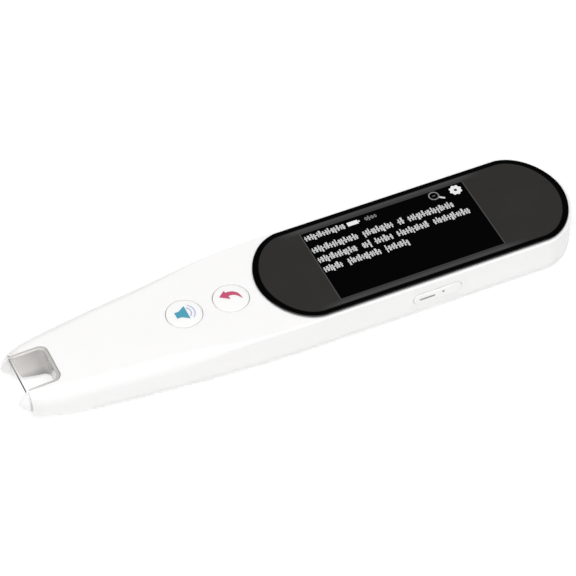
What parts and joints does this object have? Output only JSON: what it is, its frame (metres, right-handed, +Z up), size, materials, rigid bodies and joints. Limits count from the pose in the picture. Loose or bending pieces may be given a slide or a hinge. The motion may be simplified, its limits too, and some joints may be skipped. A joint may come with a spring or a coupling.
{
  "type": "scanning pen",
  "caption": "Slim white reading pen with a long rounded screen, round top keys, a side volume rocker and a forked scanning tip with a smoky window.",
  "frame": {"origin": "on the resting surface, under the middle of the pen", "axes": "+X along the pen to its tail, +Y across to the side away from the volume rocker, +Z up through the screen"},
  "size_m": [0.1431, 0.0307, 0.0105],
  "materials": {
    "white_shell": "gloss white moulding",
    "white_key": "gloss white moulding",
    "cover_glass": "polished, printed black behind",
    "panel_glass": "smooth",
    "stamped_steel": "bare sheet",
    "smoky_plastic": "clear smoke",
    "black_plastic": "matte black",
    "circuit_board": "green resist",
    "flex_film": "amber film",
    "cell_pouch": "silver foil",
    "lens_glass": "coated",
    "led_resin": "yellow resin"
  },
  "bodies": {
    "housing": {"upper_shell": "white_shell", "lower_shell": "white_shell", "touch_glass": "cover_glass", "lcd_panel": "panel_glass", "display_frame": "stamped_steel", "read_switch": "black_plastic", "back_switch": "black_plastic", "volume_down_switch": "black_plastic", "volume_up_switch": "black_plastic", "side_key_board": "circuit_board", "viewing_window": "smoky_plastic", "guide_bar": "black_plastic", "tip_switch": "black_plastic", "camera_holder": "black_plastic", "lens_barrel": "black_plastic", "front_lens": "lens_glass", "image_sensor": "black_plastic", "sensor_board": "circuit_board", "scan_led_near": "led_resin", "scan_led_far": "led_resin", "main_board": "circuit_board", "processor_chip": "black_plastic", "power_chip": "black_plastic", "memory_chip": "black_plastic", "wireless_shield": "stamped_steel", "battery_cell": "cell_pouch", "speaker": "black_plastic", "usb_board": "circuit_board", "usb_c_socket": "stamped_steel", "display_flex": "flex_film", "camera_flex": "flex_film", "tail_flex": "flex_film", "board_screw_1": "stamped_steel", "board_screw_2": "stamped_steel", "board_screw_3": "stamped_steel", "board_screw_4": "stamped_steel", "frame_screw_1": "stamped_steel", "frame_screw_2": "stamped_steel", "frame_screw_3": "stamped_steel", "frame_screw_4": "stamped_steel"},
    "read_key": {"read_button": "white_key"},
    "back_key": {"back_button": "white_key"},
    "rocker": {"volume_rocker": "white_key"},
    "nib": {"scan_nib": "white_key"}
  },
  "joints": [
    {"name": "read_press", "type": "slide", "parent": "housing", "child": "read_key", "axis": [0, 0, -1], "range_m": [0, 0.00035], "stiffness_N_per_m": 4000},
    {"name": "back_press", "type": "slide", "parent": "housing", "child": "back_key", "axis": [0, 0, -1], "range_m": [0, 0.00035], "stiffness_N_per_m": 4000},
    {"name": "volume_rock", "type": "hinge", "parent": "housing", "child": "rocker", "pos_m": [0.03035, -0.0139, 0.0058], "axis": [0, 0, 1], "range_deg": [-2, 2], "stiffness_Nm_per_rad": 0.2},
    {"name": "nib_press", "type": "slide", "parent": "housing", "child": "nib", "axis": [1, 0, 0], "range_m": [0, 0.00035], "stiffness_N_per_m": 3500}
  ]
}
